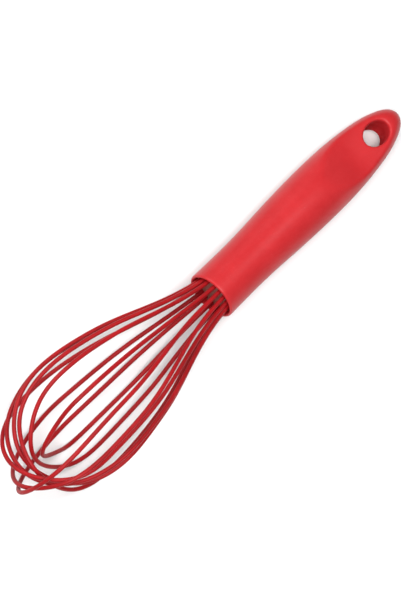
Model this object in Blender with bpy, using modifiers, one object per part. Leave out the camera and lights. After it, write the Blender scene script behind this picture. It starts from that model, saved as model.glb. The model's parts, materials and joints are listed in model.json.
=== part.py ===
"""Balloon whisk: silicone-coated wire loops held in a soft-touch handle.

The whisk is modelled along its own axis, which is X: the handle's mouth is at
zero, the handle runs towards +X and the balloon of wires towards -X.  Y is the
side of the whisk and Z is its top.  An empty then tips the whole whisk into
the pose in which it lies on a table, with the table at Z = 0.
"""

import math
from collections import namedtuple

import bmesh
import bpy
import numpy as np
from mathutils import Vector

MM = 0.001
GAP = 0.3 * MM                      # clearance between neighbouring pieces
MERGE = 0.00001                     # welding distance for seams and caps

# Handle: outer profile of the turned grip, as (distance from mouth, radius)
GRIP_KEYS = (
    (1.0, 12.3), (9.0, 12.15), (22.0, 12.1), (34.0, 12.4), (52.0, 13.3),
    (76.0, 13.95), (95.0, 13.5), (109.0, 12.2), (119.0, 10.6), (127.0, 8.3),
    (132.5, 5.7), (135.3, 2.9), (136.0, 0.0),
)
GRIP_RINGS = 30                     # rings along the turned grip
GRIP_SIDES = 36
LIP_KEYS = ((0.3, 12.05), (0.0, 11.55), (0.35, 11.0), (0.7, 9.0), (0.7, 0.0))

# Flattened hang end
FLAT_HEIGHT = 7.4 * MM              # half the thickness at the hang hole
FLAT_START = 102.5 * MM             # the flats run from here to the end
FLAT_SWEEP = 36.0 * MM              # length of the sweep from round to flat
FLAT_RISE = 7.6 * MM                # how far the sweep comes down
FLAT_KNEE = 1.3 * MM                # rounding between a flat and the round sides
HOLE_CENTRE = 117.4 * MM
HOLE_HALF_WIDTH = 5.6 * MM
HOLE_STRETCH = 1.37                 # length of the hole over its width
HOLE_RIM = 1.2 * MM                 # rounding of the hole's edge
HOLE_SIDES = 24
RIM_STEPS = 4
CUT_OVERRUN = 4.0 * MM              # how far a cutter runs past a face

# Inside the handle
SOCKET_RADIUS = 10.8 * MM
PLUG_START = 2.6 * MM
PLUG_LENGTH = 5.4 * MM
POTTING_LENGTH = 15.6 * MM
CORE_KEYS = (
    (0.0, 9.0), (35.0, 10.3), (52.0, 10.2), (62.0, 8.4), (67.0, 5.6), (69.5, 0.0),
)
CORE_RINGS = 9
CORE_SIDES = 24

# Wire loops
COAT_RADIUS = 1.05 * MM             # silicone sleeve over each wire
COAT_WALL = 0.28 * MM
WIRE_RADIUS = 0.5 * MM              # stainless core
BORE_RADIUS = 1.4 * MM              # hole in the plug for one coated wire
BORE_SIDES = 8
RING_RADIUS = 8.9 * MM              # circle on which the wires leave the plug
COAT_END = 12.0 * MM                # the sleeve stops here inside the handle
WIRE_END = 18.0 * MM                # the bare wire stops here, in the potting
BORE_END = WIRE_END + GAP
EXIT = 2.0 * MM
LOOP_POINTS = 35                    # points along each loop
LOOP_FINE = 400                     # points read from the smooth curve first
STRAIGHT_STEP = 26.0                # millimetres that count as one step
TURN_STEP = math.radians(11.0)      # turn that counts as one step
LEAN = 2.6                          # sideways set of the balloon, millimetres
TIP_SETBACK = 11.5                  # shoulder's distance behind the loop's tip

# Stations between the plug and the belly: distance in front of the mouth,
# share of the swell, share of the turn from ring angle to belly angle, and
# share of the lean.
STATIONS = (
    (20.0, 0.24, 0.15, 0.33),
    (44.0, 0.66, 0.50, 0.58),
    (66.0, 0.92, 0.85, 0.83),
    (88.0, 1.00, 1.00, 1.00),
)

# Resting pose: the tilt is found by halving a range
STEEPEST_TILT = math.radians(12.0)
TILT_HALVINGS = 40

Half = namedtuple("Half", "hole_angle belly belly_angle shoulder shoulder_angle")
Loop = namedtuple("Loop", "reach near far tip_side tip_height")

# The eight loops in the order of their holes.  Lengths are millimetres and
# angles are degrees round the axis from +Y; the far half's are measured from
# -Y.  A long reach crosses outside the shorter ones at the tip.
LOOPS = (
    Loop(130.0, Half(-79.5, 27.0, -85.0, 17.0, -93.5), Half(-82.5, 27.8, -71.0, 22.1, -63.0), -3.4, 0.5),
    Loop(127.4, Half(-59.0, 28.7, -66.0, 19.0, -71.0), Half(-62.0, 27.2, -44.5, 22.8, -42.5), -1.0, -1.9),
    Loop(124.2, Half(-38.0, 28.8, -34.5, 21.9, -29.0), Half(-41.0, 24.3, -29.5, 22.3, -38.0), 6.0, 0.3),
    Loop(122.4, Half(-15.5, 27.9, 1.0, 20.9, -19.5), Half(-18.0, 27.0, -15.5, 19.6, -13.0), 0.8, -0.1),
    Loop(118.2, Half(5.5, 28.1, 7.5, 21.7, 5.0), Half(3.0, 27.7, 4.0, 21.0, 23.0), 6.8, -0.9),
    Loop(119.1, Half(30.0, 27.0, 22.0, 18.7, 10.5), Half(24.0, 30.4, 31.5, 24.2, 29.5), 0.9, 2.3),
    Loop(114.5, Half(51.0, 27.5, 45.5, 19.6, 37.0), Half(51.5, 27.1, 58.0, 19.4, 60.5), 5.5, 1.1),
    Loop(110.5, Half(77.0, 25.7, 76.5, 17.9, 72.5), Half(75.5, 27.0, 78.0, 18.3, 78.0), 3.0, 0.1),
)

COLOURS = {
    "grip_silicone": ((0.60, 0.022, 0.035), 0.55, 0.0),
    "coat_silicone": ((0.56, 0.016, 0.028), 0.45, 0.0),
    "stainless": ((0.62, 0.62, 0.63), 0.30, 1.0),
    "nylon": ((0.26, 0.10, 0.07), 0.60, 0.0),
    "epoxy": ((0.42, 0.33, 0.20), 0.35, 0.0),
}


# --- helpers ---------------------------------------------------------------

def clear_scene():
    for thing in list(bpy.data.objects):
        bpy.data.objects.remove(thing, do_unlink=True)


def new_collection(name):
    collection = bpy.data.collections.new(name)
    bpy.context.scene.collection.children.link(collection)
    return collection


def make_material(name):
    colour, roughness, metallic = COLOURS[name]
    material = bpy.data.materials.new(name)
    material.use_nodes = True
    shader = material.node_tree.nodes["Principled BSDF"]
    shader.inputs["Base Color"].default_value = (*colour, 1.0)
    shader.inputs["Roughness"].default_value = roughness
    shader.inputs["Metallic"].default_value = metallic
    material.diffuse_color = (*colour, 1.0)
    return material


def add_object(name, data, collection, parent, material=None):
    thing = bpy.data.objects.new(name, data)
    collection.objects.link(thing)
    thing.parent = parent
    if material is not None:
        data.materials.append(material)
    return thing


def hide_cutter(thing):
    thing.hide_render = True
    thing.display_type = "WIRE"


def smooth_curve(keys, count):
    """Read count points from a natural cubic spline through the keys."""
    keys = np.array(keys, dtype=float)
    chords = np.linalg.norm(np.diff(keys, axis=0), axis=1)
    knots = np.concatenate(([0.0], np.cumsum(np.sqrt(chords))))
    steps = np.diff(knots)
    system = np.eye(len(keys))
    change = np.zeros_like(keys)
    for i in range(1, len(keys) - 1):
        system[i, i - 1] = steps[i - 1]
        system[i, i] = 2.0 * (steps[i - 1] + steps[i])
        system[i, i + 1] = steps[i]
        after = (keys[i + 1] - keys[i]) / steps[i]
        before = (keys[i] - keys[i - 1]) / steps[i - 1]
        change[i] = 6.0 * (after - before)
    bend = np.linalg.solve(system, change)
    points = []
    for t in np.linspace(0.0, knots[-1], count):
        i = min(max(int(np.searchsorted(knots, t)) - 1, 0), len(steps) - 1)
        done = t - knots[i]
        left = knots[i + 1] - t
        curve = (bend[i] * left ** 3 + bend[i + 1] * done ** 3) / (6.0 * steps[i])
        line = (keys[i] / steps[i] - bend[i] * steps[i] / 6.0) * left
        line += (keys[i + 1] / steps[i] - bend[i + 1] * steps[i] / 6.0) * done
        points.append(curve + line)
    return points


def shared_out(points, count):
    """Keep count of the points, closest together where the curve turns most."""
    points = np.array(points)
    legs = np.diff(points, axis=0)
    lengths = np.linalg.norm(legs, axis=1)
    headings = legs / lengths[:, None]
    cosines = np.clip((headings[1:] * headings[:-1]).sum(axis=1), -1.0, 1.0)
    turns = np.concatenate(([0.0], np.arccos(cosines)))
    steps = np.cumsum(lengths / STRAIGHT_STEP + turns / TURN_STEP)
    steps = np.concatenate(([0.0], steps))
    wanted = np.linspace(0.0, steps[-1], count)
    columns = [np.interp(wanted, steps, points[:, axis]) for axis in range(3)]
    return np.stack(columns, axis=1)


def turned(name, profile, sides, collection, parent, material=None):
    """Turn a profile of (distance, radius) pairs round the X axis.

    The pairs run from the handle's far end towards its mouth.
    """
    mesh = bpy.data.meshes.new(name)
    build = bmesh.new()
    before = None
    for distance, radius in profile:
        vertex = build.verts.new((radius, 0.0, distance))
        if before is not None:
            build.edges.new((before, vertex))
        before = vertex
    build.to_mesh(mesh)
    build.free()
    thing = add_object(name, mesh, collection, parent, material)
    thing.rotation_euler = (0.0, math.radians(90.0), 0.0)
    screw = thing.modifiers.new("turn", "SCREW")
    screw.axis = "Z"
    screw.steps = sides
    screw.render_steps = sides
    screw.use_merge_vertices = True
    screw.merge_threshold = MERGE
    screw.use_smooth_shade = True
    return thing


def cut(thing, cutter):
    hide_cutter(cutter)
    boolean = thing.modifiers.new("cut_" + cutter.name, "BOOLEAN")
    boolean.operation = "DIFFERENCE"
    boolean.object = cutter


# --- handle ----------------------------------------------------------------

def scaled(keys):
    return [(distance * MM, radius * MM) for distance, radius in keys]


def grip_profile():
    side = smooth_curve(GRIP_KEYS, GRIP_RINGS)[::-1]
    side[0][1] = 0.0
    return scaled(side) + scaled(LIP_KEYS)


def core_start():
    return PLUG_START + PLUG_LENGTH + GAP + POTTING_LENGTH + GAP


def core_profile(clearance):
    """The rigid core's profile, or its cavity when a clearance is given."""
    side = smooth_curve(CORE_KEYS, CORE_RINGS)[::-1]
    start = core_start()
    points = [(start + distance * MM, radius * MM + clearance) for distance, radius in side]
    points[0] = (points[0][0] + clearance, 0.0)
    return points


def socket_cutter(cutters, parent):
    """The handle's blind socket: a straight mouth and the core's cavity."""
    shoulder = core_start() - GAP
    profile = core_profile(GAP)
    profile.append((shoulder, profile[-1][1]))
    profile.append((shoulder, SOCKET_RADIUS))
    profile.append((-CUT_OVERRUN, SOCKET_RADIUS))
    profile.append((-CUT_OVERRUN, 0.0))
    return turned("cutter_socket", profile, CORE_SIDES, cutters, parent)


def hole_cutter(cutters, parent):
    """The hang hole, oval and flared at both faces so that its rim is round."""
    top = FLAT_HEIGHT + CUT_OVERRUN
    profile = [(top, 0.0), (top, HOLE_HALF_WIDTH + HOLE_RIM)]
    rim = []
    for step in range(RIM_STEPS + 1):
        turn = math.radians(90.0 * step / RIM_STEPS)
        height = FLAT_HEIGHT - HOLE_RIM * (1.0 - math.cos(turn))
        rim.append((height, HOLE_HALF_WIDTH + HOLE_RIM * (1.0 - math.sin(turn))))
    profile += rim
    profile += [(-height, radius) for height, radius in reversed(rim)]
    profile += [(-top, HOLE_HALF_WIDTH + HOLE_RIM), (-top, 0.0)]
    thing = turned("cutter_hang_hole", profile, HOLE_SIDES, cutters, parent)
    thing.rotation_euler = (0.0, 0.0, 0.0)
    thing.location = (HOLE_CENTRE, 0.0, 0.0)
    thing.scale = (HOLE_STRETCH, 1.0, 1.0)
    return thing


def flat_height(distance):
    """Height at which the hang end is flattened, at a distance from the mouth."""
    share = min(max((FLAT_START - distance) / FLAT_SWEEP, 0.0), 1.0)
    return FLAT_HEIGHT + FLAT_RISE * share * share * (3.0 - 2.0 * share)


def flattened(height, limit):
    """A height held under a limit, with a rounded knee."""
    over = abs(height) - limit + FLAT_KNEE
    if over <= 0.0:
        return height
    if over >= 2.0 * FLAT_KNEE:
        return math.copysign(limit, height)
    return math.copysign(abs(height) - over * over / (4.0 * FLAT_KNEE), height)


def build_grip(parts, cutters, parent, material):
    """The silicone grip: turned, pressed flat at the hang end, then hollowed."""
    mesh = bpy.data.meshes.new("handle_grip")
    build = bmesh.new()
    profile = grip_profile()
    ring = [build.verts.new((distance, 0.0, radius)) for distance, radius in profile]
    edges = [build.edges.new(pair) for pair in zip(ring, ring[1:])]
    bmesh.ops.spin(
        build, geom=ring + edges, axis=(1.0, 0.0, 0.0), cent=(0.0, 0.0, 0.0),
        angle=math.tau, steps=GRIP_SIDES, use_merge=True)
    bmesh.ops.remove_doubles(build, verts=build.verts, dist=MERGE)
    for vertex in build.verts:
        vertex.co.z = flattened(vertex.co.z, flat_height(vertex.co.x))
    bmesh.ops.recalc_face_normals(build, faces=build.faces)
    build.to_mesh(mesh)
    build.free()
    mesh.shade_smooth()
    grip = add_object("handle_grip", mesh, parts, parent, material)
    cut(grip, socket_cutter(cutters, parent))
    cut(grip, hole_cutter(cutters, parent))
    return grip


def build_core(parts, parent, material):
    profile = core_profile(0.0)
    profile.append((core_start(), 0.0))
    return turned("handle_core", profile, CORE_SIDES, parts, parent, material)


def hole_angles():
    return ([loop.near.hole_angle for loop in LOOPS]
            + [loop.far.hole_angle + 180.0 for loop in LOOPS])


def bores_cutter(name, start, end, cutters, parent):
    """Sixteen parallel bores on the ring where the wires leave the handle."""
    mesh = bpy.data.meshes.new(name)
    build = bmesh.new()
    for angle in hole_angles():
        bore = bmesh.ops.create_cone(
            build, cap_ends=True, segments=BORE_SIDES,
            radius1=BORE_RADIUS, radius2=BORE_RADIUS, depth=end - start)
        side = RING_RADIUS * math.cos(math.radians(angle))
        height = RING_RADIUS * math.sin(math.radians(angle))
        bmesh.ops.translate(
            build, verts=bore["verts"], vec=(-height, side, 0.5 * (start + end)))
    build.to_mesh(mesh)
    build.free()
    thing = add_object(name, mesh, cutters, parent)
    thing.rotation_euler = (0.0, math.radians(90.0), 0.0)
    return thing


def build_disc(name, start, length, bore_start, bore_end, parts, cutters, parent, material):
    """A round piece that fills the socket and holds the wires in bores."""
    radius = SOCKET_RADIUS - GAP
    profile = [(start + length, 0.0), (start + length, radius), (start, radius), (start, 0.0)]
    disc = turned(name, profile, CORE_SIDES, parts, parent, material)
    cut(disc, bores_cutter("cutter_" + name, bore_start, bore_end, cutters, parent))
    return disc


def build_plug(parts, cutters, parent, material):
    end = PLUG_START + PLUG_LENGTH
    return build_disc("wire_plug", PLUG_START, PLUG_LENGTH, PLUG_START - GAP, end + GAP,
                      parts, cutters, parent, material)


def build_potting(parts, cutters, parent, material):
    start = PLUG_START + PLUG_LENGTH + GAP
    return build_disc("epoxy_potting", start, POTTING_LENGTH, start - GAP, BORE_END,
                      parts, cutters, parent, material)


# --- wire loops ------------------------------------------------------------

def ring_point(distance, radius, angle, lean):
    """A point in millimetres, at a distance from the mouth and round the axis."""
    turn = math.radians(angle)
    return (distance, radius * math.cos(turn) + lean, radius * math.sin(turn))


def half_keys(half, base_angle, reach):
    """One half of a loop's route, from the handle out to the shoulder."""
    ring = RING_RADIUS / MM
    hole_angle = base_angle + half.hole_angle
    belly_angle = base_angle + half.belly_angle
    keys = [
        ring_point(COAT_END / MM, ring, hole_angle, 0.0),
        ring_point(EXIT / MM, ring, hole_angle, 0.0),
    ]
    for distance, swell, turn, lean in STATIONS:
        radius = ring + swell * (half.belly - ring)
        angle = hole_angle + turn * (belly_angle - hole_angle)
        keys.append(ring_point(-distance, radius, angle, lean * LEAN))
    shoulder_angle = base_angle + half.shoulder_angle
    keys.append(ring_point(TIP_SETBACK - reach, half.shoulder, shoulder_angle, LEAN))
    return keys


def loop_route(index):
    """Points in metres along one loop's sleeve, from end to end."""
    loop = LOOPS[index]
    near = half_keys(loop.near, 0.0, loop.reach)
    far = half_keys(loop.far, 180.0, loop.reach)
    keys = near + [(-loop.reach, loop.tip_side, loop.tip_height)] + far[::-1]
    route = shared_out(smooth_curve(keys, LOOP_FINE), LOOP_POINTS)
    return [Vector(point) * MM for point in route]


def tube_curve(name, points, radius, capped, resolution, parts, parent, material):
    curve = bpy.data.curves.new(name, "CURVE")
    curve.dimensions = "3D"
    curve.bevel_depth = radius
    curve.bevel_resolution = resolution
    curve.use_fill_caps = capped
    spline = curve.splines.new("POLY")
    spline.points.add(len(points) - 1)
    for point, place in zip(spline.points, points):
        point.co = (*place, 1.0)
    spline.use_smooth = True
    return add_object(name, curve, parts, parent, material)


def build_coat(index, points, parts, parent, material):
    """The silicone sleeve: an open tube, given its wall inwards."""
    coat = tube_curve(f"loop_coat_{index + 1}", points, COAT_RADIUS, False, 2,
                      parts, parent, material)
    wall = coat.modifiers.new("wall", "SOLIDIFY")
    wall.thickness = COAT_WALL
    wall.offset = -1.0
    return coat


def build_wire(index, points, parts, parent, material):
    """The steel wire, bare for the last stretch inside the handle."""
    ends = []
    for end in (points[0], points[-1]):
        ends.append(Vector((WIRE_END, end.y, end.z)))
    route = [ends[0]] + points + [ends[1]]
    return tube_curve(f"loop_wire_{index + 1}", route, WIRE_RADIUS, True, 1,
                      parts, parent, material)


# --- resting pose ----------------------------------------------------------

def world_points(parts):
    """Every corner of every part, in world space."""
    bpy.context.view_layer.update()
    depsgraph = bpy.context.evaluated_depsgraph_get()
    clouds = []
    for thing in parts.objects:
        evaluated = thing.evaluated_get(depsgraph)
        mesh = evaluated.to_mesh()
        flat = np.empty(3 * len(mesh.vertices))
        mesh.vertices.foreach_get("co", flat)
        matrix = np.array(thing.matrix_world)
        clouds.append(flat.reshape(-1, 3) @ matrix[:3, :3].T + matrix[:3, 3])
        evaluated.to_mesh_clear()
    return np.concatenate(clouds)


def lie_on_table(axis, parts):
    """Tip the whisk until balloon and handle both touch the table."""
    points = world_points(parts)
    balloon = points[points[:, 0] < 0.0]
    handle = points[points[:, 0] > 0.0]
    low = 0.0
    high = STEEPEST_TILT
    for _ in range(TILT_HALVINGS):
        tilt = 0.5 * (low + high)
        drop = np.array([-math.sin(tilt), math.cos(tilt)])
        balloon_low = (balloon[:, [0, 2]] @ drop).min()
        handle_low = (handle[:, [0, 2]] @ drop).min()
        if balloon_low < handle_low:
            low = tilt
        else:
            high = tilt
    axis.rotation_euler = (0.0, tilt, 0.0)
    points = world_points(parts)
    lowest = points.min(axis=0)
    highest = points.max(axis=0)
    middle = 0.5 * (lowest + highest)
    axis.location = (-middle[0], -middle[1], -lowest[2])
    bpy.context.view_layer.update()


def main():
    clear_scene()
    parts = new_collection("balloon_whisk")
    cutters = new_collection("cutters")
    axis = bpy.data.objects.new("whisk_axis", None)
    bpy.context.scene.collection.objects.link(axis)
    materials = {name: make_material(name) for name in COLOURS}
    build_grip(parts, cutters, axis, materials["grip_silicone"])
    build_core(parts, axis, materials["nylon"])
    build_plug(parts, cutters, axis, materials["nylon"])
    build_potting(parts, cutters, axis, materials["epoxy"])
    for index in range(len(LOOPS)):
        points = loop_route(index)
        build_coat(index, points, parts, axis, materials["coat_silicone"])
        build_wire(index, points, parts, axis, materials["stainless"])
    lie_on_table(axis, parts)


main()
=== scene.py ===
# %% [markdown]
# # A balloon whisk in red silicone
#
# This lesson dresses a balloon whisk. Its engineering model comes in as a
# fixed frame: a handle, a plug, and eight wire loops, each in a sleeve. The
# frame gives every size and place. Our job is the surface: a smooth moulded
# grip, round sleeves with no corners, and materials that behave like
# silicone, steel, nylon and resin.

# %% Load the frame
import json
import math

import bmesh
import bpy
import numpy as np
from mathutils import Matrix, Vector


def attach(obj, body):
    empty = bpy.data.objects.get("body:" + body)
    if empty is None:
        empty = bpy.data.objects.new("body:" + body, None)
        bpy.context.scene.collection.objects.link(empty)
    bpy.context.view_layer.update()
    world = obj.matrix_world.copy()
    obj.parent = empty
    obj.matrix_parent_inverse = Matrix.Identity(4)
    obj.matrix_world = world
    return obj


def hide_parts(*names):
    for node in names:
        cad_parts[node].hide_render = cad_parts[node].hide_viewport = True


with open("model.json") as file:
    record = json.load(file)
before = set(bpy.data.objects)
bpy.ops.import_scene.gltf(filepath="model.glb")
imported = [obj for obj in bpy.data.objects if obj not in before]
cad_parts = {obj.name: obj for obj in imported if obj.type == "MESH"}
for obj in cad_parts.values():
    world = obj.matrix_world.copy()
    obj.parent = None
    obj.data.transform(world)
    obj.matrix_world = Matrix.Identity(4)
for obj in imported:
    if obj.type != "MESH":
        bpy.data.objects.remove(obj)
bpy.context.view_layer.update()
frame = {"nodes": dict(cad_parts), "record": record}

MM = 0.001
WELD = 0.00001                       # points closer than this are one point

nodes = frame["nodes"]
record = frame["record"]

# %% [markdown]
# ## The whisk's own axes
#
# The whisk lies on a table, so it is tipped by a few degrees. Everything on
# it is easier to shape along its own axis. We could type in the tilt, but it
# is safer to measure it. The record says which way the flat beside the hang
# hole faces: that is the whisk's top. The plug is a disc on the axis, and the
# grip starts at the mouth. Those three facts fix the whole frame.

# %% Measure the axes
flats = {mount["name"]: mount for mount in record["mounts"]}
top = Vector(flats["flat_beside_hang_hole"]["axis"]).normalized()
side = Vector((0.0, 1.0, 0.0))
along = side.cross(top).normalized()
turn = Matrix((along, side, top)).transposed()


def own_points(name):
    """A node's points measured along the whisk's own directions, in metres."""
    mesh = nodes[name].data
    flat = np.empty(3 * len(mesh.vertices))
    mesh.vertices.foreach_get("co", flat)
    return flat.reshape(-1, 3) @ np.array(turn)


plug_points = own_points("wire_plug")
mouth = own_points("handle_grip")[:, 0].min()
centre = 0.5 * (plug_points.min(axis=0) + plug_points.max(axis=0))
origin = turn @ Vector((mouth, centre[1], centre[2]))
WHISK = Matrix.Translation(origin) @ turn.to_4x4()
print("tilt:", round(math.degrees(math.asin(top.x)), 2), "degrees; mouth at",
      [round(x / MM, 2) for x in origin], "mm")


def span(name):
    """How far a node reaches along the whisk from the mouth, in metres."""
    reach = own_points(name)[:, 0] - mouth
    return reach.min(), reach.max()


# %% [markdown]
# ## Camera
#
# The whisk is seen from above and a little from its balloon end, with the
# handle pointing to the upper right. So the camera leans back from the
# whisk's top by about a quarter of a right angle, and it is rolled by nearly
# 45 degrees. A long lens from over a metre away keeps the proportions true.

# %% Set up the camera
LEAN_BACK = math.radians(24.5)
DISTANCE = 1.25
LENS = 164.7
ROLL = math.radians(44.5)
AIM = Vector((-4.01, 1.98, -1.83)) * MM

toward = Vector((-math.sin(LEAN_BACK), 0.0, math.cos(LEAN_BACK)))
uphill = Vector((math.cos(LEAN_BACK), 0.0, math.sin(LEAN_BACK)))
sideways = Vector((0.0, 1.0, 0.0))
right = math.cos(ROLL) * uphill - math.sin(ROLL) * sideways
upward = math.sin(ROLL) * uphill + math.cos(ROLL) * sideways
place = Matrix((right, upward, toward)).transposed().to_4x4()
place.translation = AIM + toward * DISTANCE

camera_data = bpy.data.cameras.new("camera")
camera_data.lens = LENS
camera_data.sensor_width = 36.0
camera_data.clip_start = 0.01
camera_data.clip_end = 20.0
camera = bpy.data.objects.new("camera", camera_data)
bpy.context.scene.collection.objects.link(camera)
camera.matrix_world = WHISK @ place
bpy.context.scene.camera = camera
print("camera:", [round(x, 3) for x in camera.matrix_world.translation], "m")

# %% [markdown]
# ## Material helpers
#
# Every finish here is a small tree of nodes on one Principled shader. The
# patterns read Object coordinates in metres, so a noise of scale 1000 has
# features of about a millimetre. A few helpers keep each material short:
# one adds a node and wires its inputs, one makes noise, and one bends a value
# into a range.


# %% Write the helpers
def new_material(name):
    """A material with a fresh Principled shader and Object coordinates."""
    material = bpy.data.materials.new(name)
    material.use_nodes = True
    tree = material.node_tree
    shader = tree.nodes["Principled BSDF"]
    where = tree.nodes.new("ShaderNodeTexCoord")
    return material, tree, shader, where.outputs["Object"]


def node(tree, kind, settings=(), **inputs):
    """Add a node, set its options, and fill or link its inputs."""
    made = tree.nodes.new(kind)
    for key, value in dict(settings).items():
        setattr(made, key, value)
    for key, value in inputs.items():
        socket = made.inputs[key.replace("_", " ")]
        if isinstance(value, bpy.types.NodeSocket):
            tree.links.new(value, socket)
        else:
            socket.default_value = value
    return made


def noise(tree, where, scale, detail=3.0, roughness=0.5):
    """Soft random values about one half, with features of 1 / scale metres."""
    made = node(tree, "ShaderNodeTexNoise", Vector=where, Scale=scale, Detail=detail,
                Roughness=roughness)
    return made.outputs["Fac"]


def ranged(tree, value, low, high, to_low, to_high):
    """Carry a value from one range to another, and hold it at the ends."""
    made = node(tree, "ShaderNodeMapRange", Value=value)
    made.inputs["From Min"].default_value = low
    made.inputs["From Max"].default_value = high
    made.inputs["To Min"].default_value = to_low
    made.inputs["To Max"].default_value = to_high
    return made.outputs["Result"]


def blended(tree, amount, first, second):
    """Mix two colours, each a tuple or another node's colour."""
    made = node(tree, "ShaderNodeMix", {"data_type": "RGBA"})
    for socket, value in ((made.inputs[0], amount), (made.inputs[6], first), (made.inputs[7], second)):
        if isinstance(value, bpy.types.NodeSocket):
            tree.links.new(value, socket)
        elif isinstance(value, tuple):
            socket.default_value = (*value, 1.0)
        else:
            socket.default_value = value
    return made.outputs[2]


def combined(tree, operation, first, second):
    """Add, subtract or multiply two values, each a number or a node's output."""
    made = node(tree, "ShaderNodeMath", {"operation": operation})
    for socket, value in zip(made.inputs, (first, second)):
        if isinstance(value, bpy.types.NodeSocket):
            tree.links.new(value, socket)
        else:
            socket.default_value = value
    return made.outputs[0]


def attribute(tree, name):
    """A value painted on the mesh, point by point."""
    return node(tree, "ShaderNodeAttribute", {"attribute_name": name}).outputs["Fac"]


def bumped(tree, shader, layers):
    """Stack bumps, each a (height, strength, depth in metres)."""
    normal = None
    for height, strength, depth in layers:
        bump = node(tree, "ShaderNodeBump", Strength=strength, Distance=depth, Height=height)
        if normal is not None:
            tree.links.new(normal, bump.inputs["Normal"])
        normal = bump.outputs["Normal"]
    tree.links.new(normal, shader.inputs["Normal"])


# %% [markdown]
# ## Soft-touch silicone for the grip
#
# The grip is moulded silicone with a fine matt skin. It has one strong red, a
# little deeper in some places than in others. Its shine is broad and low. The
# skin's grain is a tenth of a millimetre, far too fine to see as lumps, but it
# is what spreads the shine. The lip and the rim of the hang hole are rubbed
# smoother by fingers and hooks, which an attribute on the mesh marks. Another
# marks the wall of the hole and the socket, where the mould left a dull skin.

# %% Mix the grip's silicone
GRIP_RED = (0.415, 0.0165, 0.0200)
GRIP_DEEP = (0.370, 0.0120, 0.0150)
GRIP_WORN = (0.430, 0.0190, 0.0230)
DUST = (0.540, 0.1200, 0.1200)


def grip_silicone():
    material, tree, shader, where = new_material("grip_silicone_red")
    cloud = ranged(tree, noise(tree, where, 60.0, 6.0, 0.75), 0.35, 0.65, 0.0, 1.0)
    colour = blended(tree, cloud, GRIP_DEEP, GRIP_RED)
    worn = attribute(tree, "rubbed")
    patchy = ranged(tree, noise(tree, where, 260.0, 4.0), 0.35, 0.7, 0.15, 1.0)
    rubbed = combined(tree, "MULTIPLY", worn, patchy)
    colour = blended(tree, rubbed, colour, GRIP_WORN)
    lint = ranged(tree, noise(tree, where, 2300.0, 1.0), 0.74, 0.80, 0.0, 0.35)
    colour = blended(tree, lint, colour, DUST)
    tree.links.new(colour, shader.inputs["Base Color"])
    grain = noise(tree, where, 7000.0, 2.0, 0.6)
    handled = noise(tree, where, 70.0, 4.0, 0.6)
    matt = ranged(tree, handled, 0.3, 0.7, 0.36, 0.43)
    smooth = combined(tree, "MULTIPLY", rubbed, 0.14)
    hollow = attribute(tree, "hollow")
    dull = combined(tree, "ADD", matt, combined(tree, "MULTIPLY", hollow, 0.40))
    tree.links.new(combined(tree, "SUBTRACT", dull, smooth), shader.inputs["Roughness"])
    tree.links.new(ranged(tree, hollow, 0.0, 1.0, 0.22, 0.03), shader.inputs["Specular IOR Level"])
    shader.inputs["Subsurface Weight"].default_value = 0.12
    shader.inputs["Subsurface Radius"].default_value = (1.0, 0.12, 0.10)
    shader.inputs["Subsurface Scale"].default_value = 0.0012
    waves = noise(tree, where, 130.0, 2.0)
    bumped(tree, shader, ((waves, 0.25, 0.00010), (grain, 0.35, 0.00003)))
    return material


GRIP_MATERIAL = grip_silicone()
print("made", GRIP_MATERIAL.name)

# %% [markdown]
# ## Satin silicone for the sleeves
#
# The sleeves are drawn tubes, and their skin is a little shinier than the grip's.
# Their red is the silicone's own, set deeper than the grip's partly as painted
# shade, which darkens every loop like the shaded loops nearer the table. An
# attribute called "reach" runs from 0 at the handle to 1 at the tip of each loop.
# The tips scrape round bowls, so there the skin goes paler and duller in short
# scuffs. Near the handle the sleeves stay clean.

# %% Mix the sleeves' silicone
# The sleeve reds below are darkened partly as painted shade.
SLEEVE_RED_WITH_PAINTED_SHADE = (0.290, 0.0060, 0.0085)
SLEEVE_DEEP_WITH_PAINTED_SHADE = (0.235, 0.0045, 0.0065)
SLEEVE_SCUFF = (0.320, 0.0150, 0.0180)


def sleeve_silicone():
    material, tree, shader, where = new_material("sleeve_silicone_red")
    cloud = ranged(tree, noise(tree, where, 90.0, 3.0), 0.35, 0.65, 0.0, 1.0)
    colour = blended(tree, cloud, SLEEVE_DEEP_WITH_PAINTED_SHADE, SLEEVE_RED_WITH_PAINTED_SHADE)
    used = ranged(tree, attribute(tree, "reach"), 0.72, 1.0, 0.0, 1.0)
    scuffs = ranged(tree, noise(tree, where, 900.0, 4.0, 0.65), 0.55, 0.75, 0.0, 0.6)
    scuffed = combined(tree, "MULTIPLY", used, scuffs)
    colour = blended(tree, scuffed, colour, SLEEVE_SCUFF)
    tree.links.new(colour, shader.inputs["Base Color"])
    satin = ranged(tree, noise(tree, where, 220.0, 3.0), 0.3, 0.7, 0.36, 0.48)
    dulled = combined(tree, "MULTIPLY", scuffed, 0.25)
    tree.links.new(combined(tree, "ADD", satin, dulled), shader.inputs["Roughness"])
    shader.inputs["Specular IOR Level"].default_value = 0.14
    shader.inputs["Subsurface Weight"].default_value = 0.10
    shader.inputs["Subsurface Radius"].default_value = (1.0, 0.12, 0.10)
    shader.inputs["Subsurface Scale"].default_value = 0.0006
    grain = noise(tree, where, 5200.0, 2.0, 0.6)
    ripple = noise(tree, where, 420.0, 2.0)
    bumped(tree, shader, ((ripple, 0.20, 0.00006), (grain, 0.30, 0.00002)))
    return material


SLEEVE_MATERIAL = sleeve_silicone()
print("made", SLEEVE_MATERIAL.name)
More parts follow.
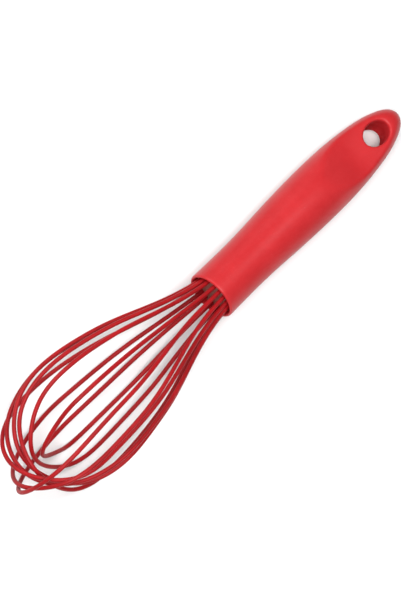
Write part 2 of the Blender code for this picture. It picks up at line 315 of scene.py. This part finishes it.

# %% [markdown]
# ## The parts inside the handle
#
# Little of these is ever seen, but a viewer can look into the mouth, and the
# pieces can be taken apart. The wires are drawn spring steel: fine lines run
# along them. The plug and the core are moulded nylon, a flat brown with a
# faint flow pattern and specks of filler. The plug's dark red-brown is partly
# painted shade, matched to the shaded inside of the mouth. The potting is cast
# resin, clear amber in the deep places, with small bubbles near its skin.

# %% Mix steel, nylon and resin
STEEL = (0.62, 0.62, 0.63)
STEEL_DARK = (0.42, 0.42, 0.44)
# The plug's browns are nylon darkened and reddened partly as painted shade.
PLUG_BROWN_WITH_PAINTED_SHADE = (0.26, 0.055, 0.040)
PLUG_DARK_WITH_PAINTED_SHADE = (0.19, 0.038, 0.028)
CORE_BROWN = (0.16, 0.13, 0.09)
CORE_DARK = (0.10, 0.08, 0.055)
FILLER = (0.30, 0.25, 0.18)
AMBER = (0.42, 0.31, 0.17)
AMBER_DARK = (0.26, 0.17, 0.07)


def spring_steel():
    material, tree, shader, where = new_material("spring_steel")
    stretched = node(tree, "ShaderNodeMapping", Vector=where, Scale=(0.08, 1.0, 1.0))
    lines = noise(tree, stretched.outputs["Vector"], 9000.0, 3.0, 0.7)
    colour = blended(tree, ranged(tree, lines, 0.3, 0.7, 0.0, 1.0), STEEL_DARK, STEEL)
    tree.links.new(colour, shader.inputs["Base Color"])
    shader.inputs["Metallic"].default_value = 1.0
    tree.links.new(ranged(tree, lines, 0.3, 0.7, 0.22, 0.38), shader.inputs["Roughness"])
    bumped(tree, shader, ((lines, 0.4, 0.00001),))
    return material


def moulded_nylon(name, base, dark):
    material, tree, shader, where = new_material(name)
    flow = ranged(tree, noise(tree, where, 180.0, 4.0, 0.6), 0.3, 0.7, 0.0, 1.0)
    colour = blended(tree, flow, dark, base)
    specks = ranged(tree, noise(tree, where, 3200.0, 2.0), 0.66, 0.76, 0.0, 0.5)
    colour = blended(tree, specks, colour, FILLER)
    tree.links.new(colour, shader.inputs["Base Color"])
    rough = noise(tree, where, 600.0, 3.0)
    tree.links.new(ranged(tree, rough, 0.3, 0.7, 0.50, 0.68), shader.inputs["Roughness"])
    grain = noise(tree, where, 4500.0, 3.0, 0.6)
    bumped(tree, shader, ((grain, 0.5, 0.00004),))
    return material


def cast_resin():
    material, tree, shader, where = new_material("cast_resin_amber")
    depth = ranged(tree, noise(tree, where, 140.0, 3.0), 0.3, 0.7, 0.0, 1.0)
    colour = blended(tree, depth, AMBER_DARK, AMBER)
    bubbles = node(tree, "ShaderNodeTexVoronoi", Vector=where, Scale=900.0)
    pits = ranged(tree, bubbles.outputs["Distance"], 0.0, 0.22, 1.0, 0.0)
    tree.links.new(blended(tree, pits, colour, AMBER), shader.inputs["Base Color"])
    tree.links.new(ranged(tree, noise(tree, where, 300.0), 0.3, 0.7, 0.18, 0.34),
                   shader.inputs["Roughness"])
    bumped(tree, shader, ((pits, 0.5, 0.00006),))
    return material


STEEL_MATERIAL = spring_steel()
PLUG_MATERIAL = moulded_nylon("plug_nylon_brown_painted_shade", PLUG_BROWN_WITH_PAINTED_SHADE, PLUG_DARK_WITH_PAINTED_SHADE)
CORE_MATERIAL = moulded_nylon("core_nylon_brown", CORE_BROWN, CORE_DARK)
RESIN_MATERIAL = cast_resin()
print("made", STEEL_MATERIAL.name, PLUG_MATERIAL.name, CORE_MATERIAL.name, RESIN_MATERIAL.name)

# %% [markdown]
# ## Dressing the pieces that stay
#
# The core and the potting have the right shape already. They keep their mesh
# and only change their material.


# %% Give the core and the potting their finish
def dress(name, material):
    """Put a material on a piece of the frame, without touching its mesh."""
    thing = nodes[name]
    if not thing.material_slots:
        thing.data.materials.append(material)
    for slot in thing.material_slots:
        slot.material = material


dress("handle_core", CORE_MATERIAL)
dress("epoxy_potting", RESIN_MATERIAL)
print("dressed handle_core and epoxy_potting")


# %% [markdown]
# ## Curves through a few points
#
# A turned outline and a bent wire are both smooth lines through a handful of
# points. A natural cubic spline bends as little as it can between them, just
# like a springy strip, so it suits both.

# %% Write the spline
def smooth_curve(keys, count, spacing=0.5):
    """Read count points from a natural cubic spline through the keys.

    The spline's parameter grows with the distance between keys to the power
    given by spacing.
    """
    keys = np.array(keys, dtype=float)
    chords = np.linalg.norm(np.diff(keys, axis=0), axis=1)
    knots = np.concatenate(([0.0], np.cumsum(chords ** spacing)))
    steps = np.diff(knots)
    system = np.eye(len(keys))
    change = np.zeros_like(keys)
    for i in range(1, len(keys) - 1):
        system[i, i - 1] = steps[i - 1]
        system[i, i] = 2.0 * (steps[i - 1] + steps[i])
        system[i, i + 1] = steps[i]
        after = (keys[i + 1] - keys[i]) / steps[i]
        before = (keys[i] - keys[i - 1]) / steps[i - 1]
        change[i] = 6.0 * (after - before)
    bend = np.linalg.solve(system, change)
    points = []
    for t in np.linspace(0.0, knots[-1], count):
        i = min(max(int(np.searchsorted(knots, t)) - 1, 0), len(steps) - 1)
        done = t - knots[i]
        left = knots[i + 1] - t
        curve = (bend[i] * left ** 3 + bend[i + 1] * done ** 3) / (6.0 * steps[i])
        line = (keys[i] / steps[i] - bend[i] * steps[i] / 6.0) * left
        line += (keys[i + 1] / steps[i] - bend[i + 1] * steps[i] / 6.0) * done
        points.append(curve + line)
    return np.array(points)


def evened(points, step):
    """The same line with its points a step apart, end to end."""
    legs = np.linalg.norm(np.diff(points, axis=0), axis=1)
    run = np.concatenate(([0.0], np.cumsum(legs)))
    wanted = np.linspace(0.0, run[-1], max(2, round(run[-1] / step) + 1))
    columns = [np.interp(wanted, run, points[:, i]) for i in range(points.shape[1])]
    return np.stack(columns, axis=1)


# %% [markdown]
# ## The grip's outline
#
# The real grip is one silicone sleeve moulded over the core: a round lip at
# the mouth, a slight waist, a full belly for the palm, then a slimmer end.
# It is turned from a single outline, which also runs back inside, round the
# socket and the core. That makes it a true shell with an open mouth. The lip
# is half a circle as thick as the wall. Lengths are millimetres here.

# %% Draw the outline
GRIP_KEYS = (
    (1.0, 12.3), (9.0, 12.15), (22.0, 12.1), (34.0, 12.4), (52.0, 13.3),
    (76.0, 13.95), (95.0, 13.5), (109.0, 12.2), (119.0, 10.6), (127.0, 8.3),
    (132.5, 5.7), (135.3, 2.9), (136.0, 0.0),
)
CORE_KEYS = ((0.0, 9.0), (35.0, 10.3), (52.0, 10.2), (62.0, 8.4), (67.0, 5.6), (69.5, 0.0))
SOCKET = 10.8
SOCKET_START = 2.0
LIP_STEPS = 10
RING_STEP = 1.1
INNER_STEP = 3.0
CLEARANCE = 0.3
OUTLINE_READINGS = 400
CAVITY_READINGS = 200
skin_line = smooth_curve(GRIP_KEYS, OUTLINE_READINGS)


def grip_outline():
    """(distance, radius) pairs from the hang end round the lip to the core's end."""
    outer = evened(skin_line, RING_STEP)[::-1]
    outer[0][1] = 0.0
    wall = 0.5 * (GRIP_KEYS[0][1] - SOCKET)
    middle = GRIP_KEYS[0][1] - wall
    lip = []
    for i in range(1, LIP_STEPS + 1):
        angle = math.pi * i / LIP_STEPS
        lip.append((wall - wall * math.sin(angle), middle + wall * math.cos(angle)))
    shift = outer[-1][0] - wall
    lip = [(distance + shift * (1.0 - i / LIP_STEPS), radius)
           for i, (distance, radius) in enumerate(lip, 1)]
    core_start = span("handle_core")[0] / MM
    shoulder = core_start - CLEARANCE
    socket = [(distance, SOCKET) for distance in np.arange(SOCKET_START, shoulder, INNER_STEP)]
    core = evened(smooth_curve(CORE_KEYS, CAVITY_READINGS), INNER_STEP)
    cavity = [(core_start + distance, radius + CLEARANCE) for distance, radius in core]
    cavity[-1] = (cavity[-1][0] + CLEARANCE, 0.0)
    step = [(shoulder, SOCKET), (shoulder, cavity[0][1])]
    return [tuple(point) for point in outer] + lip + socket + step + cavity


outline = grip_outline()
print("outline:", len(outline), "points, widest", round(2 * max(r for _, r in outline), 2), "mm")

# %% [markdown]
# ## Turning and pressing the grip
#
# The outline is spun round the axis. The hang end of the real handle is not
# round but pressed flat on two sides, so that it hangs against a wall. Here
# each point near the end is brought down to the flat's height, with a soft
# knee where the flat meets the round side.

# %% Spin it and press the hang end flat
FLAT_HEIGHT = 7.4
FLAT_START = 102.5
FLAT_SWEEP = 36.0
FLAT_RISE = 7.6
FLAT_KNEE = 1.3
GRIP_SIDES = 96


def flat_height(distance):
    """Height of the pressed flat at a distance from the mouth."""
    share = min(max((FLAT_START - distance) / FLAT_SWEEP, 0.0), 1.0)
    return FLAT_HEIGHT + FLAT_RISE * share * share * (3.0 - 2.0 * share)


def pressed(height, distance):
    """A height brought under the flat, with a rounded knee."""
    limit = flat_height(distance)
    over = abs(height) - limit + FLAT_KNEE
    if over <= 0.0:
        return height
    if over >= 2.0 * FLAT_KNEE:
        return math.copysign(limit, height)
    return math.copysign(abs(height) - over * over / (4.0 * FLAT_KNEE), height)


def spun(profile, sides):
    """Spin (distance, radius) pairs round the X axis into a closed mesh."""
    build = bmesh.new()
    ring = [build.verts.new((distance, 0.0, radius)) for distance, radius in profile]
    edges = [build.edges.new(pair) for pair in zip(ring, ring[1:])]
    bmesh.ops.spin(
        build, geom=ring + edges, axis=(1.0, 0.0, 0.0), cent=(0.0, 0.0, 0.0),
        angle=math.tau, steps=sides, use_merge=True)
    bmesh.ops.remove_doubles(build, verts=build.verts, dist=WELD / MM)
    bmesh.ops.recalc_face_normals(build, faces=build.faces)
    return build


grip = spun(outline, GRIP_SIDES)
for vertex in grip.verts:
    vertex.co.z = pressed(vertex.co.z, vertex.co.x)
print("grip:", len(grip.faces), "faces")

# %% [markdown]
# ## Opening the hang hole
#
# A Boolean would leave long thin faces round the hole. Instead the faces over
# the hole are deleted, on the top and on the underside. The ragged edge that
# remains is drawn onto an oval, and its rim is rolled inwards by extruding
# the edge a few times round a quarter circle. The two rolled edges are then
# bridged, and the bridge becomes the hole's wall.

# %% Cut, roll and bridge the hole
HOLE_CENTRE = 117.4
HOLE_HALF = 5.6
HOLE_STRETCH = 1.37
HOLE_RIM = 1.2
RIM_STEPS = 6
WALL_CUTS = 8
SKIN_LEVEL = 2.0                     # the skin by the hole is farther than this off the axis
RELAX_REACH = 1.35                   # share of the oval out to which the skin is relaxed
RELAX_PASSES = 4


def skin_height(distance, offset):
    """Height of the pressed skin over a point beside the axis."""
    radius = np.interp(distance, skin_line[:, 0], skin_line[:, 1])
    return pressed(math.sqrt(max(radius * radius - offset * offset, 0.0)), distance)


def oval_share(point, half):
    """1 on the oval whose half width is given, and less inside it."""
    long_half = HOLE_STRETCH * HOLE_HALF + half - HOLE_HALF
    return math.hypot((point.x - HOLE_CENTRE) / long_half, point.y / half)


def to_oval(vertex, half, drop, level):
    """Slide a vertex out or in to the oval and set it below the skin."""
    share = oval_share(vertex.co, half)
    vertex.co.x = HOLE_CENTRE + (vertex.co.x - HOLE_CENTRE) / share
    vertex.co.y = vertex.co.y / share
    vertex.co.z = level * (skin_height(vertex.co.x, vertex.co.y) - drop)


def open_side(build, level):
    """Open one side of the hole and roll its rim. Returns the inner edge."""
    edge_half = HOLE_HALF + HOLE_RIM
    skin = [face for face in build.faces
            if level * face.calc_center_median().z > SKIN_LEVEL
            and oval_share(face.calc_center_median(), edge_half) < 1.0]
    bmesh.ops.delete(build, geom=skin, context="FACES")
    edges = [edge for edge in build.edges
             if edge.is_boundary and level * edge.verts[0].co.z > 0.0]
    for vertex in {vertex for edge in edges for vertex in edge.verts}:
        to_oval(vertex, edge_half, 0.0, level)
    near = [vertex for vertex in build.verts
            if level * vertex.co.z > SKIN_LEVEL and not vertex.is_boundary
            and 1.0 < oval_share(vertex.co, edge_half) < RELAX_REACH]
    for _ in range(RELAX_PASSES):
        bmesh.ops.smooth_vert(build, verts=near, factor=0.5, use_axis_x=True, use_axis_y=True)
    for vertex in near:
        vertex.co.z = level * skin_height(vertex.co.x, vertex.co.y)
    for i in range(1, RIM_STEPS + 1):
        angle = 0.5 * math.pi * i / RIM_STEPS
        made = bmesh.ops.extrude_edge_only(build, edges=edges)["geom"]
        edges = [part for part in made if isinstance(part, bmesh.types.BMEdge)]
        half = edge_half - HOLE_RIM * math.sin(angle)
        for vertex in [part for part in made if isinstance(part, bmesh.types.BMVert)]:
            to_oval(vertex, half, HOLE_RIM * (1.0 - math.cos(angle)), level)
    return edges


upper = open_side(grip, 1.0)
lower = open_side(grip, -1.0)
wall = bmesh.ops.bridge_loops(grip, edges=upper + lower)
posts = [edge for edge in wall["edges"]
         if abs(edge.verts[0].co.z - edge.verts[1].co.z) > SKIN_LEVEL]
bmesh.ops.subdivide_edges(grip, edges=posts, cuts=WALL_CUTS, use_grid_fill=True)
print("hang hole opened:", len(upper), "edges round each rim")

# %% [markdown]
# ## Marking where the grip is rubbed
#
# The silicone material asks for an attribute called "rubbed". It is 1 on the
# lip and on the rim of the hole and fades out over a few millimetres. Painting
# it from the shape keeps the wear where hands and hooks touch. The second
# attribute, "hollow", grows from 0 to 1 below the outer skin.

# %% Finish the grip
LIP_FADE = 2.2
RIM_FADE = 1.6
SKIN_DEPTH = 0.6


def add_piece(name, build, material, replaced, scale=MM):
    """Place a mesh on the whisk and hand it to the frame."""
    bmesh.ops.transform(build, matrix=WHISK @ Matrix.Scale(scale, 4), verts=build.verts)
    mesh = bpy.data.meshes.new(name)
    build.to_mesh(mesh)
    build.free()
    mesh.shade_smooth()
    mesh.materials.append(material)
    thing = bpy.data.objects.new(name, mesh)
    bpy.context.scene.collection.objects.link(thing)
    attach(thing, "root")
    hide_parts(*replaced)
    return thing


rubbed = grip.verts.layers.float.new("rubbed")
hollow = grip.verts.layers.float.new("hollow")
for vertex in grip.verts:
    skin_radius = np.interp(vertex.co.x, skin_line[:, 0], skin_line[:, 1])
    below_round = skin_radius - math.hypot(vertex.co.y, vertex.co.z)
    below_flat = skin_height(vertex.co.x, vertex.co.y) - abs(vertex.co.z)
    vertex[hollow] = min(max(min(below_round, below_flat) - SKIN_DEPTH, 0.0), 1.0)
    lip = 1.0 - vertex.co.x / LIP_FADE
    beyond = (oval_share(vertex.co, HOLE_HALF + HOLE_RIM) - 1.0) * HOLE_HALF
    rim = 1.0 - beyond / RIM_FADE if abs(vertex.co.z) > SKIN_LEVEL else 0.0
    vertex[rubbed] = min(max(lip, rim, 0.0), 1.0)
bmesh.ops.recalc_face_normals(grip, faces=grip.faces)
grip_piece = add_piece("grip_sleeve", grip, GRIP_MATERIAL, ["handle_grip"])
print("grip_sleeve:", len(grip_piece.data.polygons), "faces")

# %% [markdown]
# ## Reading the wires' routes
#
# Each loop leaves the handle, swells into the balloon, turns over at the tip
# and comes back. Its route is already in the frame, as the steel wire's own
# mesh: rings of points from one end to the other. The node's triangles are
# loose, so a copy is merged first. Then we start at one cut end and walk ring
# by ring. The middle of each ring is a point of the centre line.


# %% Walk along each wire
END_DEPTH = 0.01                     # points this close to the last one are on the cut end
END_REACH = 2.0                      # and this close together they are on the same end


def centre_line(name):
    """The middle of every ring of a wire, in millimetres from the mouth."""
    build = bmesh.new()
    build.from_mesh(nodes[name].data)
    bmesh.ops.remove_doubles(build, verts=build.verts, dist=WELD)
    bmesh.ops.transform(
        build, matrix=Matrix.Scale(1.0 / MM, 4) @ WHISK.inverted(), verts=build.verts)
    end = max(vertex.co.x for vertex in build.verts)
    start = max(build.verts, key=lambda vertex: (vertex.co.x > end - END_DEPTH, vertex.co.z))
    ring = {vertex for vertex in build.verts
            if vertex.co.x > end - END_DEPTH and (vertex.co - start.co).length < END_REACH}
    seen = set(ring)
    line = []
    while ring:
        line.append(sum((vertex.co for vertex in ring), Vector()) / len(ring))
        ring = {edge.other_vert(vertex) for vertex in ring for edge in vertex.link_edges} - seen
        seen |= ring
    build.free()
    return np.array([list(point) for point in line])


LOOPS = range(1, 9)
lines = {i: centre_line(f"loop_wire_{i}") for i in LOOPS}
for i in LOOPS:
    print("loop", i, len(lines[i]), "points, tip at", round(lines[i][:, 0].min(), 1), "mm")

# %% [markdown]
# ## Sweeping a round tube
#
# A sleeve is a circle pushed along its route. We make the first circle, then
# extrude its edge a short step at a time. At each step the new ring is moved
# on and turned with the route, so that the tube never twists. The wall's
# thickness comes from a Solidify modifier that works inwards.


# %% Write the sweep
def sweep(route, radius, sides, capped):
    """Extrude a circle along a route of points. Marks how far out each ring is."""
    route = [Vector(point) for point in route]
    headings = [(b - a).normalized() for a, b in zip(route, route[1:])]
    ways = [headings[0]]
    ways += [(a + b).normalized() for a, b in zip(headings, headings[1:])]
    ways += [headings[-1]]
    farthest = min(point.x for point in route)
    build = bmesh.new()
    reach = build.verts.layers.float.new("reach")
    ring = bmesh.ops.create_circle(build, cap_ends=capped, radius=radius, segments=sides)["verts"]
    face_on = Vector((0.0, 0.0, 1.0)).rotation_difference(ways[0]).to_matrix().to_4x4()
    bmesh.ops.transform(build, matrix=Matrix.Translation(route[0]) @ face_on, verts=ring)
    edges = list(build.edges)
    for i in range(1, len(route)):
        made = bmesh.ops.extrude_edge_only(build, edges=edges)["geom"]
        ring = [part for part in made if isinstance(part, bmesh.types.BMVert)]
        edges = [part for part in made if isinstance(part, bmesh.types.BMEdge)]
        bmesh.ops.translate(build, verts=ring, vec=route[i] - route[i - 1])
        bend = ways[i - 1].rotation_difference(ways[i]).to_matrix()
        bmesh.ops.rotate(build, verts=ring, cent=route[i], matrix=bend)
        for vertex in ring:
            vertex[reach] = max(route[i].x / farthest, 0.0)
    if capped:
        bmesh.ops.contextual_create(build, geom=edges)
    bmesh.ops.recalc_face_normals(build, faces=build.faces)
    return build


# %% [markdown]
# ## The eight sleeves and their wires
#
# The sleeve stops inside the handle and the bare wire runs on into the resin.
# Both follow the same smooth line. A step of about a millimetre keeps the
# tight turn at the tip round.

# %% Make the loops
SLEEVE_RADIUS = 1.0
SLEEVE_WALL = 0.28
WIRE_RADIUS = 0.5
SLEEVE_SIDES = 16
WIRE_SIDES = 10
ROUTE_STEP = 1.1
ROUTE_READINGS = 900

for i in LOOPS:
    route = evened(smooth_curve(lines[i][1:-1], ROUTE_READINGS), ROUTE_STEP)
    tube = sweep(route, SLEEVE_RADIUS, SLEEVE_SIDES, False)
    sleeve = add_piece(f"silicone_sleeve_{i}", tube, SLEEVE_MATERIAL,
                       [f"loop_coat_{i}"])
    wall = sleeve.modifiers.new("wall", "SOLIDIFY")
    wall.thickness = SLEEVE_WALL * MM
    wall.offset = -1.0
    ends = np.array([lines[i][0], lines[i][-1]])
    rod = sweep(np.concatenate((ends[:1], route, ends[1:])), WIRE_RADIUS, WIRE_SIDES, True)
    add_piece(f"steel_wire_{i}", rod, STEEL_MATERIAL, [f"loop_wire_{i}"])
    length = np.linalg.norm(np.diff(route, axis=0), axis=1).sum()
    print("loop", i, "sleeve", round(length), "mm long,", len(route), "rings")

# %% [markdown]
# ## The plug that spreads the wires
#
# Just inside the mouth sits a moulded disc with sixteen bores, two for each
# loop. It spaces the wires and closes the handle, and it is the face seen
# between them; its dark red-brown there is partly painted shade. A disc is
# spun from a straight line, the faces over each bore are deleted, and the
# edges are drawn onto circles. Extruding the whole sheet then makes the
# bores' walls and the rim together. A turned and drilled disc has crisp
# edges, so those are marked sharp.

# %% Make the plug
PLUG_RADIUS = 10.5
PLUG_RING_STEP = 0.42
PLUG_SIDES = 120
BORE_RADIUS = 1.25
SNAP_REACH = 1.6                     # edge points within this many radii go to the bore
CRISP = math.radians(60.0)
plug_start, plug_end = (distance / MM for distance in span("wire_plug"))
bores = []
for i in LOOPS:
    for point in (lines[i][0], lines[i][-1]):
        bores.append(Vector((0.0, point[1], point[2])))


def bored_plug():
    """A disc with sixteen holes, extruded to the plug's thickness."""
    radii = np.arange(0.0, PLUG_RADIUS + 0.5 * PLUG_RING_STEP, PLUG_RING_STEP)
    build = spun([(plug_start, radius) for radius in radii], PLUG_SIDES)
    for bore in bores:
        middle = bore + Vector((plug_start, 0.0, 0.0))
        over = [face for face in build.faces
                if (face.calc_center_median() - middle).length < BORE_RADIUS]
        bmesh.ops.delete(build, geom=over, context="FACES")
        for vertex in build.verts:
            reach = vertex.co - middle
            if vertex.is_boundary and reach.length < SNAP_REACH * BORE_RADIUS:
                vertex.co = middle + reach.normalized() * BORE_RADIUS
    bmesh.ops.remove_doubles(build, verts=build.verts, dist=WELD / MM)
    sheet = list(build.faces)
    made = bmesh.ops.extrude_face_region(build, geom=sheet, use_keep_orig=True)["geom"]
    back = [part for part in made if isinstance(part, bmesh.types.BMVert)]
    bmesh.ops.translate(build, verts=back, vec=(plug_end - plug_start, 0.0, 0.0))
    bmesh.ops.recalc_face_normals(build, faces=build.faces)
    for edge in build.edges:
        edge.smooth = edge.calc_face_angle(0.0) < CRISP
    return build


plug = add_piece("plug_moulding", bored_plug(), PLUG_MATERIAL, ["wire_plug"])
print("plug_moulding:", len(plug.data.polygons), "faces and", len(bores), "bores")

# %% [markdown]
# ## Table and light
#
# The whisk lies on a plain pale table in soft studio light. An even surround
# fills the shadows, and three round lamps do the rest. The key lamp hangs high
# on the camera's side, over the balloon end. The overhead lamp is smaller and
# draws the streak along the handle. The fill lamp is the largest. It stands off
# to one side and lightens the edge that the others leave dark.

# %% Set the table and the light
TABLE_SIZE = 3.0
TABLE_CELLS = 8
TABLE_WHITE = (0.71, 0.71, 0.71)
TABLE_SHADE = (0.69, 0.69, 0.69)
SURROUND = 0.33
LAMPS = {
    "key_lamp": (Vector((-0.42, -0.04, 0.90)), 0.50, 10.0),
    "overhead_lamp": (Vector((0.20, -0.10, 0.95)), 0.32, 4.2),
    "fill_lamp": (Vector((0.00, 0.85, 0.75)), 0.80, 7.5),
}

table = bmesh.new()
bmesh.ops.create_grid(table, x_segments=TABLE_CELLS, y_segments=TABLE_CELLS, size=0.5 * TABLE_SIZE)
table_mesh = bpy.data.meshes.new("table")
table.to_mesh(table_mesh)
table.free()
floor = bpy.data.objects.new("table", table_mesh)
bpy.context.scene.collection.objects.link(floor)

pale, tree, shader, where = new_material("pale_table")
mottle = ranged(tree, noise(tree, where, 12.0), 0.3, 0.7, 0.0, 1.0)
tree.links.new(blended(tree, mottle, TABLE_SHADE, TABLE_WHITE), shader.inputs["Base Color"])
shader.inputs["Roughness"].default_value = 0.6
table_mesh.materials.append(pale)

world = bpy.data.worlds.new("studio")
bpy.context.scene.world = world
world.use_nodes = True
surround = world.node_tree.nodes["Background"]
surround.inputs["Color"].default_value = (1.0, 1.0, 1.0, 1.0)
surround.inputs["Strength"].default_value = SURROUND

for name, (spot, size, power) in LAMPS.items():
    lamp_data = bpy.data.lights.new(name, "AREA")
    lamp_data.shape = "DISK"
    lamp_data.size = size
    lamp_data.energy = power
    lamp = bpy.data.objects.new(name, lamp_data)
    bpy.context.scene.collection.objects.link(lamp)
    lamp.location = spot
    lamp.rotation_mode = "QUATERNION"
    lamp.rotation_quaternion = spot.to_track_quat("Z", "Y")
    print(name, "at", [round(x, 2) for x in spot], "m")
bpy.context.scene.view_settings.view_transform = "Standard"
